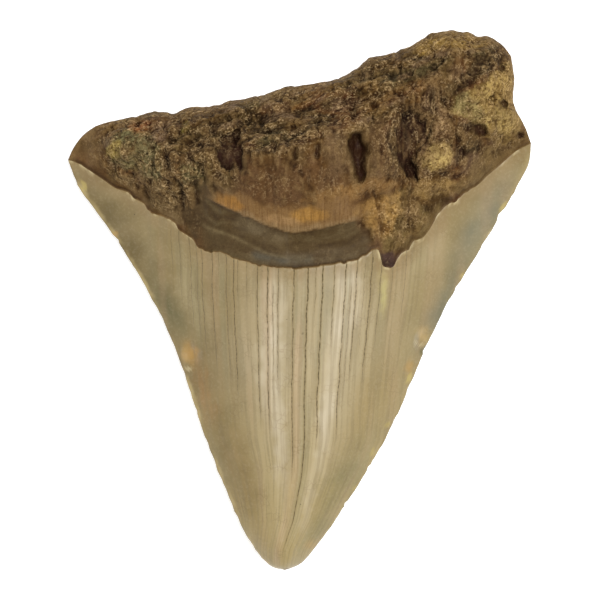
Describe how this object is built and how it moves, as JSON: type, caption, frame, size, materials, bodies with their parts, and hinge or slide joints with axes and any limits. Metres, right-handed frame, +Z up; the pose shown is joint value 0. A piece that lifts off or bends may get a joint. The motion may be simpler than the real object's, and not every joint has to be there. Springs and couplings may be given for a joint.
{
  "type": "fossil megalodon tooth",
  "caption": "Large fossil shark tooth with a smooth, finely cracked triangular enamel crown, a dark chevron band and a worn, pitted brown root, lying on its flat outer face.",
  "frame": {"origin": "middle of the tooth's bounding box, on the surface that it rests on", "axes": "+Y runs from the tip to the root, the long way of the tooth. +Z points up from the resting surface, through the thickness, out of the rounded inner face. +X runs across the crown."},
  "size_m": [0.0834, 0.0968, 0.0226],
  "materials": {
    "fossil_tooth": "Grey-beige polished enamel with fine lengthwise cracks, above it a dark brown satin band and a matt, rough, pitted brown root."
  },
  "bodies": {
    "root": {"tooth": "fossil_tooth"}
  },
  "joints": []
}
